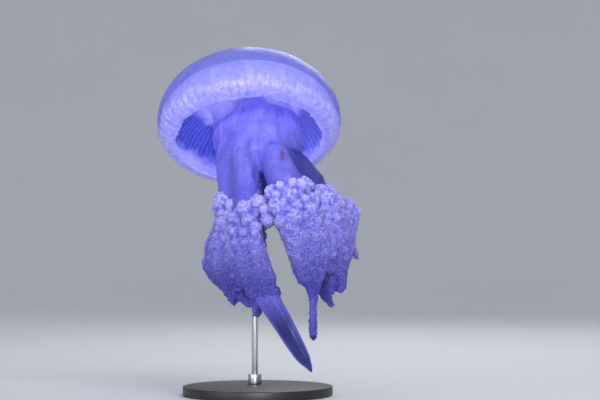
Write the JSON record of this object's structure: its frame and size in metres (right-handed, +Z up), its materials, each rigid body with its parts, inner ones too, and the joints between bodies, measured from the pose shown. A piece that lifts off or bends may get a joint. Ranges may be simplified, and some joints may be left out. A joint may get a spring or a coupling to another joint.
{
  "type": "jellyfish model",
  "caption": "Life-size barrel jellyfish with an open domed bell, a stout manubrium and frilled mouth arms ending in clubs, banked on a display stand.",
  "frame": {"origin": "centre of the underside of the stand's foot, on the surface it stands on", "axes": "+Z up; the viewer of the open underside looks along +Y with +X to the right; the crown of the bell leans towards +Y"},
  "size_m": [0.3324, 0.3368, 0.5532],
  "materials": {
    "bell_jelly": "clear, wet and slightly cloudy jelly",
    "margin": "clear, wet jelly, pale towards its lobes",
    "manubrium": "smooth, wet and milky lavender",
    "frill": "finely crumpled, soft and matt",
    "club": "clear, wet jelly with paler ridges",
    "stand_foot": "satin black paint",
    "stand_rod": "satin steel"
  },
  "bodies": {
    "root": {"bell": "bell_jelly", "bell_margin": "margin", "pillar_right": "manubrium", "pillar_back": "manubrium", "pillar_left": "manubrium", "pillar_front": "manubrium", "arm_disc": "manubrium", "fused_arms": "manubrium", "arm_1_stalk": "manubrium", "arm_1_frill": "frill", "arm_1_club": "club", "arm_2_stalk": "manubrium", "arm_2_frill": "frill", "arm_2_club": "club", "arm_3_stalk": "manubrium", "arm_3_frill": "frill", "arm_3_club": "club", "arm_4_stalk": "manubrium", "arm_4_frill": "frill", "arm_4_club": "club", "arm_5_stalk": "manubrium", "arm_5_frill": "frill", "arm_5_club": "club", "arm_6_stalk": "manubrium", "arm_6_frill": "frill", "arm_6_club": "club", "arm_7_stalk": "manubrium", "arm_7_frill": "frill", "arm_7_club": "club", "arm_8_stalk": "manubrium", "arm_8_frill": "frill", "arm_8_club": "club", "stand_foot": "stand_foot", "stand_rod": "stand_rod", "stand_collar": "stand_rod"}
  },
  "joints": []
}
